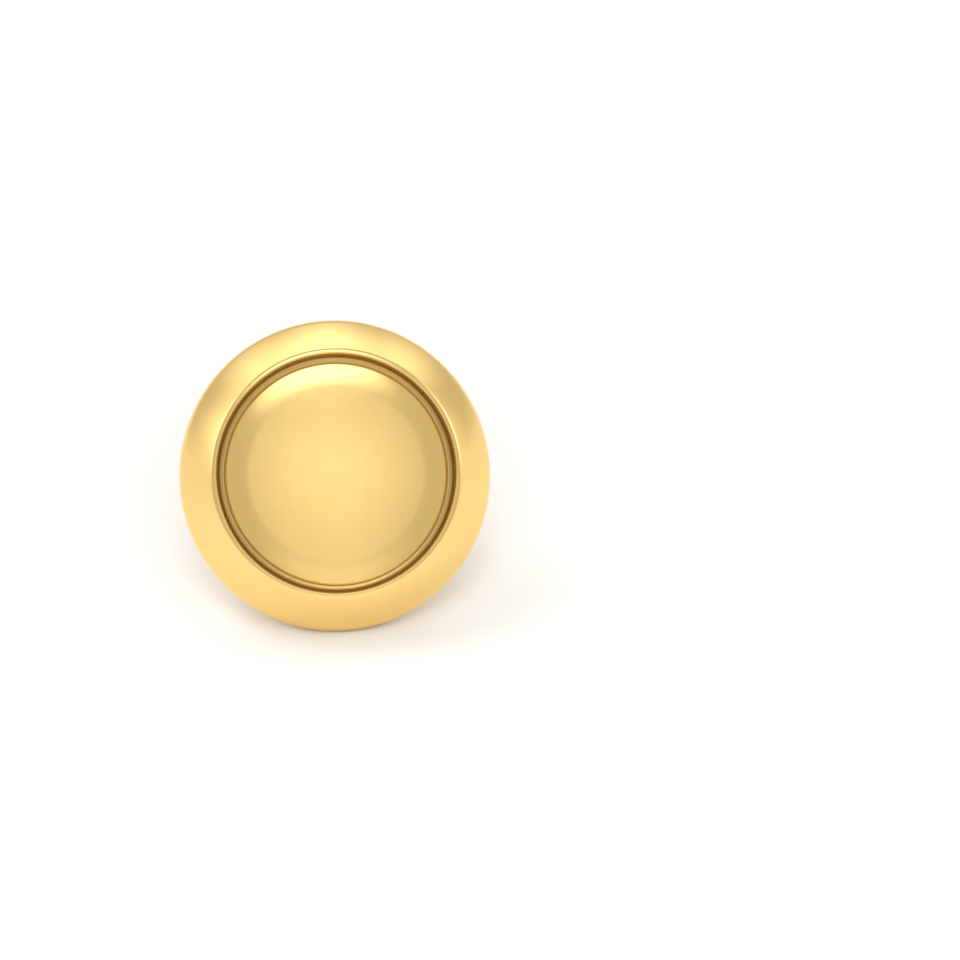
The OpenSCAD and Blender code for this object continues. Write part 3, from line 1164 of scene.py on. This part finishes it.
        pad = mesh_object("post_pad", points, faces, self.pose.matrix)
        finish_piece(pad, self.pad_finish.material(self.pose), "button", "back_plate")
        return pad


class Side(Enum):
    """Which arm of the butterfly back: above or below the post."""

    UPPER = 1.0
    LOWER = -1.0


@dataclass
class ButterflyBack:
    """The push-on back: a dished washer with a collar, and two arms rolled into scrolls."""

    pose: RestingPose
    washer_finish: DrawnGold = DrawnGold("yellow_gold_pressed_washer", roughness=0.15, rougher=0.24)
    arm_finish: DrawnGold = DrawnGold("yellow_gold_rolled_strip")
    strip: float = 0.00046
    washer_radius: float = 0.00294
    flat_radius: float = 0.00185
    dish_round: float = 0.0015
    hole_radius: float = 0.00049
    hole_land: float = 0.00008
    collar: float = 0.0004
    collar_length: float = 0.00037
    edge_round: float = 0.00011
    arm_width: float = 0.0029
    arm_round: float = 0.00305
    arm_begin: float = 154.0
    tail_turn: float = -140.0
    tail_length: float = 0.00107
    washer_segments: int = 128
    rim_blend: float = 2.0
    collar_end: float = 94.0
    hole_edge: float = 0.00006
    collar_edge: float = 0.00002
    first_flat_ring: float = 0.0001
    flat_rings: int = 8
    rim_step_angle: float = 10.0
    collar_step_angle: float = 8.0
    arm_stations: int = 22
    scroll_stations: int = 80
    tail_stations: int = 10
    points_across: int = 49
    corner_points: int = 6
    end_rings: int = 5
    least_corner: float = 0.00001
    end_inset: float = 0.999

    def washer_outline(self) -> list[OutlinePoint]:
        """Return the washer's outline: out over its front, round the rim, and back to the collar."""
        lean = math.degrees(math.asin((self.washer_radius - self.flat_radius) / self.dish_round))
        front = Arc((self.flat_radius, 0.0), self.dish_round, 0.0, lean - self.rim_blend)
        rim_front = Arc(front.finish, self.edge_round, lean, lean + 90.0)
        flat_edge = plus(rim_front.finish, outward(lean + 180.0), self.strip - 2 * self.edge_round)
        rim_back = Arc(flat_edge, self.edge_round, lean + 90.0, lean + 180.0)
        back_in = self.dish_round - self.strip
        collar_foot = self.hole_radius + self.hole_land + self.collar
        collar = Arc((collar_foot, self.strip), -self.collar, 180.0, self.collar_end)
        dish_back = [OutlinePoint(p.radius, p.depth, p.facing + 180.0) for p in reversed(
            Arc((self.flat_radius, self.strip), back_in, 0.0, lean - self.rim_blend).points())]
        collar_top = self.strip + self.collar_length
        scale = self.collar_length / self.collar
        flared = [OutlinePoint(p.radius, self.strip + (p.depth - self.strip) * scale, p.facing)
                  for p in collar.points(0.0, self.collar_step_angle)]
        hole, edge, ledge = self.hole_radius, self.hole_edge, self.collar_edge
        front_flat = spread(hole + self.first_flat_ring, self.flat_radius, self.flat_rings)
        back_flat = spread(self.flat_radius, collar_foot, self.flat_rings)
        return joined([
            [OutlinePoint(hole, edge, -90.0), OutlinePoint(hole + edge, 0.0, 0.0)],
            [OutlinePoint(r, 0.0, 0.0) for r in front_flat], front.points(),
            rim_front.points(0.0, self.rim_step_angle), rim_back.points(0.0, self.rim_step_angle), dish_back,
            [OutlinePoint(r, self.strip, 180.0) for r in back_flat], flared,
            [OutlinePoint(hole + self.hole_land / 2, collar_top + ledge, 180.0),
             OutlinePoint(hole, collar_top - ledge, 270.0)]])

    @property
    def place(self) -> Matrix:
        """Matrix from the clutch's own frame, with y along the post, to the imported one."""
        return self.pose.on_post @ Matrix.Translation((0.0, self.pose.clutch_distance, 0.0))

    def build_washer(self) -> bpy.types.Object:
        """Build and dress the washer, and return it."""
        turned = TurnedMesh(self.washer_segments)
        turned.turn_outline(self.washer_outline(), closed=True)
        washer = mesh_object("clutch_washer", turned.points, turned.faces, self.place, turned.normals)
        finish_piece(washer, self.washer_finish.material(self.pose),
                     "clutch", "butterfly_clutch")
        return washer

    def arm_path(self) -> list[tuple[float, float, float]]:
        """Return the middle line of an arm: (along the post, off its axis, heading in degrees)."""
        pose = self.pose
        arm_centre = (pose.scroll_ahead, pose.scroll_height + pose.scroll_radius - self.arm_round)
        scroll_centre = (pose.scroll_ahead, pose.scroll_height)
        path = []
        for centre, radius, turns in (
                (arm_centre, self.arm_round, spread(self.arm_begin, 90.0, self.arm_stations)),
                (scroll_centre, pose.scroll_radius, spread(90.0, self.tail_turn, self.scroll_stations)[1:])):
            middle = radius - self.strip / 2
            for degrees in turns:
                a = math.radians(degrees)
                path.append((centre[0] + middle * math.cos(a), centre[1] + middle * math.sin(a),
                             degrees - 90.0))
        along, off, heading = path[-1]
        step = (math.cos(math.radians(heading)), math.sin(math.radians(heading)))
        path += [(along + step[0] * s, off + step[1] * s, heading)
                 for s in spread(0.0, self.tail_length, self.tail_stations)[1:]]
        return path

    def strip_section(self, inset: float) -> list[Point]:
        """Return the strip's section as (across, outward) points with rounded corners.

        Args:
            inset: How far the section is drawn in, for the rounded end of the strip.

        Returns:
            The points, once round.
        """
        half_width, half_strip = self.arm_width / 2 - inset, self.strip / 2 - inset
        radius = max(self.edge_round - inset, self.least_corner)
        section: list[Point] = []
        for side, face, begin in ((1, 1, 0), (-1, 1, 90), (-1, -1, 180), (1, -1, 270)):
            centre = (side * (half_width - radius), face * (half_strip - radius))
            for degrees in spread(begin, begin + 90, self.corner_points):
                a = math.radians(degrees)
                section.append((centre[0] + radius * math.cos(a), centre[1] + radius * math.sin(a)))
            if begin in (0, 180):
                reach = half_width - radius
                section += [(side * x, face * half_strip)
                            for x in spread(reach, -reach, self.points_across)[1:-1]]
        return section

    def build_arm(self, side: Side) -> bpy.types.Object:
        """Build and dress one arm.

        Args:
            side: Which arm.

        Returns:
            The piece.
        """
        path = self.arm_path()
        rows = [(at, 0.0, 0.0) for at in path]
        for lean in spread(0.0, 90.0, self.end_rings)[1:-1]:
            inset = self.edge_round * (1 - math.cos(math.radians(lean)))
            rows.append((path[-1], inset, self.edge_round * math.sin(math.radians(lean))))
        rows.append((path[-1], self.edge_round * self.end_inset, self.edge_round))
        points: list[Triple] = []
        for (along, off, heading), inset, ahead in rows:
            a = math.radians(heading)
            for across, out in self.strip_section(inset):
                px = along + ahead * math.cos(a) - out * math.sin(a)
                py = off + ahead * math.sin(a) + out * math.cos(a)
                if math.hypot(across, py) < self.hole_radius:
                    py = math.sqrt(self.hole_radius ** 2 - across ** 2)
                points.append((across, px, side.value * py))
        count = len(self.strip_section(0.0))
        faces: list[tuple[int, ...]] = []
        for i in range(0, (len(rows) - 1) * count, count):
            for j in range(count):
                k = (j + 1) % count
                faces.append((i + j, i + count + j, i + count + k, i + k))
        faces.append(tuple(range(count)))
        faces.append(tuple(range(len(points) - count, len(points))))
        arm = mesh_object(f"clutch_arm_{side.name.lower()}", points, faces, self.place)
        finish_piece(arm, self.arm_finish.material(self.pose, self.pose.post_rise),
                     "clutch", "butterfly_clutch")
        return arm

    def build(self) -> list[bpy.types.Object]:
        """Build the washer and both arms, and return them."""
        return [self.build_washer(), *(self.build_arm(side) for side in Side)]


@dataclass(frozen=True)
class Glow:
    """A soft patch of light on the studio's tent.

    The light is full up to the core and fades out to the rim, both in degrees from the
    middle of the patch.
    """

    azimuth: float
    elevation: float
    core: float
    rim: float
    strength: float
    colour: str = "#FFFFFF"


@dataclass
class Studio:
    """Pale floor, a soft light tent and the camera. None of it is part of the object."""

    form: ButtonForm
    pose: RestingPose
    camera_azimuth: float = -2.4
    camera_elevation: float = 36.5
    lens: float = 180.0
    sensor: float = 36.0
    image_size: int = 960
    outline_centre_px: tuple[float, float] = (335.2, 472.06)
    outline_radius_px: float = 155.5
    floor_half: float = 4.0
    floor_colour: str = "#F0EFEC"
    floor_roughness: float = 0.9
    floor_specular: float = 0.1
    clip_near: float = 0.01
    clip_far: float = 10.0
    tent_level: float = 0.68
    tent_colour: str = "#FFFDF9"
    horizon_level: float = 0.2
    horizon_height: float = 0.16
    key_direction: tuple[float, float] = (-128.0, 56.0)
    key_angle: float = 26.0
    key_strength: float = 0.5
    pool_place: Triple = (-0.002, -0.05, 0.05)
    pool_target: Triple = (0.0, -0.016, 0.0)
    pool_size: float = 0.03
    pool_power: float = 0.008
    glows: tuple[Glow, ...] = (
        Glow(2.0, 42.0, 0.0, 18.0, 0.6, "#F6F9FF"),
        Glow(0.0, 15.0, 4.0, 24.0, 0.35),
        Glow(-6.0, 73.0, 8.0, 24.0, 1.9, "#F3F6FF"),
        Glow(-98.0, 28.0, 4.0, 33.0, 1.25, "#FBFBFF"),
        Glow(90.0, 25.0, 4.0, 33.0, 1.1, "#FBFBFF"),
        Glow(180.0, 44.0, 3.0, 26.0, 1.2, "#F7F9FF"),
        Glow(-142.0, 39.0, 3.0, 26.0, 0.85),
        Glow(140.0, 37.0, 3.0, 26.0, 0.75),
    )

    @property
    def view(self) -> Vector:
        """Return the direction from the earring to the camera."""
        return direction(self.camera_azimuth, self.camera_elevation)

    def build_floor(self) -> None:
        """Lay the floor and give it a matte white paper finish."""
        half = self.floor_half
        corners = [(-half, -half, 0.0), (half, -half, 0.0), (half, half, 0.0), (-half, half, 0.0)]
        floor = mesh_object("studio_floor", corners, [(0, 1, 2, 3)], Matrix.Identity(4))
        made = bpy.data.materials.new("matte_white_paper")
        made.use_nodes = True
        shader = made.node_tree.nodes["Principled BSDF"]
        shader.inputs["Base Color"].default_value = srgb(self.floor_colour)
        shader.inputs["Roughness"].default_value = self.floor_roughness
        shader.inputs["Specular IOR Level"].default_value = self.floor_specular
        floor.data.materials.append(made)

    def build_tent(self) -> None:
        """Light the scene with a soft tent that is pale at the horizon and has brighter patches."""
        world = bpy.data.worlds.new("light_tent")
        bpy.context.scene.world = world
        world.use_nodes = True
        tree = world.node_tree
        towards = add_node(tree, "ShaderNodeTexCoord").outputs["Generated"]
        level = (self.tent_level * c for c in srgb(self.tent_colour)[:3])
        total = add_node(tree, "ShaderNodeCombineXYZ", dict(zip("XYZ", level))).outputs[0]

        def add_light(share: bpy.types.NodeSocket, strength: float, colour: str) -> bpy.types.NodeSocket:
            """Add a share of a coloured light to what the tent gives, and return the sum."""
            tint = tuple(strength * c for c in srgb(colour)[:3])
            light = add_node(tree, "ShaderNodeVectorMath", {0: tint, "Scale": share}, operation="SCALE")
            return add_node(tree, "ShaderNodeVectorMath", {0: total, 1: light.outputs[0]},
                            operation="ADD").outputs[0]

        height = add_node(tree, "ShaderNodeSeparateXYZ", {"Vector": towards}).outputs["Z"]
        low = add_range(tree, height, (0.0, self.horizon_height), (1.0, 0.0), smooth=True)
        total = add_light(low, self.horizon_level, self.tent_colour)
        for glow in self.glows:
            lined_up = add_node(tree, "ShaderNodeVectorMath", {
                0: towards, 1: tuple(direction(glow.azimuth, glow.elevation))}, operation="DOT_PRODUCT")
            angle = add_node(tree, "ShaderNodeMath", {0: lined_up.outputs["Value"]}, operation="ARCCOSINE")
            reach = (math.radians(glow.core), math.radians(glow.rim))
            share = add_range(tree, angle.outputs[0], reach, (1.0, 0.0), smooth=True)
            total = add_light(share, glow.strength, glow.colour)
        tree.links.new(total, tree.nodes["Background"].inputs["Color"])

    def hang_lamp(self, name: str, kind: str, energy: float, towards_lamp: Vector) -> bpy.types.Object:
        """Hang a lamp that the metal doesn't mirror.

        Args:
            name: Name of the lamp.
            kind: Blender's name for its kind.
            energy: Its strength.
            towards_lamp: Direction from what it lights to the lamp.

        Returns:
            The lamp.
        """
        light = bpy.data.lights.new(name, kind)
        light.energy = energy
        lamp = bpy.data.objects.new(name, light)
        lamp.rotation_euler = towards_lamp.to_track_quat("Z", "Y").to_euler()
        lamp.visible_glossy = False
        bpy.context.scene.collection.objects.link(lamp)
        return lamp

    def build_lamps(self) -> None:
        """Hang the key light for the soft shadow, and a small lamp over the floor in front."""
        key = self.hang_lamp("key_softbox", "SUN", self.key_strength, direction(*self.key_direction))
        key.data.angle = math.radians(self.key_angle)
        back = Vector(self.pool_place) - Vector(self.pool_target)
        pool = self.hang_lamp("floor_pool", "AREA", self.pool_power, back)
        pool.data.shape = "DISK"
        pool.data.size = self.pool_size
        pool.location = self.pool_place

    def build_camera(self) -> None:
        """Set the camera so that the button stands where the photograph has it."""
        lens = bpy.data.cameras.new("camera")
        lens.lens = self.lens
        lens.sensor_width = self.sensor
        camera = bpy.data.objects.new("camera", lens)
        bpy.context.scene.collection.objects.link(camera)
        centre = self.pose.matrix @ Vector((0.0, self.form.edge.start[1], 0.0))
        per_metre = self.outline_radius_px / self.form.radius
        distance = self.lens / self.sensor * self.image_size / per_metre
        right = Vector((0.0, 0.0, 1.0)).cross(self.view).normalized()
        up = self.view.cross(right)
        middle = self.image_size / 2
        aim = (centre + right * (middle - self.outline_centre_px[0]) / per_metre
               - up * (middle - self.outline_centre_px[1]) / per_metre)
        camera.location = centre + self.view * distance
        camera.rotation_euler = (camera.location - aim).to_track_quat("Z", "Y").to_euler()
        lens.clip_start, lens.clip_end = self.clip_near, self.clip_far
        bpy.context.scene.camera = camera

    def build(self) -> None:
        """Build the floor, the lights and the camera."""
        self.build_floor()
        self.build_tent()
        self.build_lamps()
        self.build_camera()
        bpy.context.scene.view_settings.view_transform = "Standard"


def main() -> None:
    """Build the earring and its studio."""
    logging.basicConfig(level=logging.INFO, format="%(name)s: %(message)s")
    form = ButtonForm()
    pose = RestingPose(form)
    LOG.info("resting tilt %.2f degrees", math.degrees(pose.tilt))
    FrontShell(form, pose).build()
    BackPlate(form, pose).build()
    post = EarPost(form, pose)
    post.build_wire()
    post.build_pad()
    ButterflyBack(pose).build()
    Studio(form, pose).build()


if __name__ == "__main__":
    main()
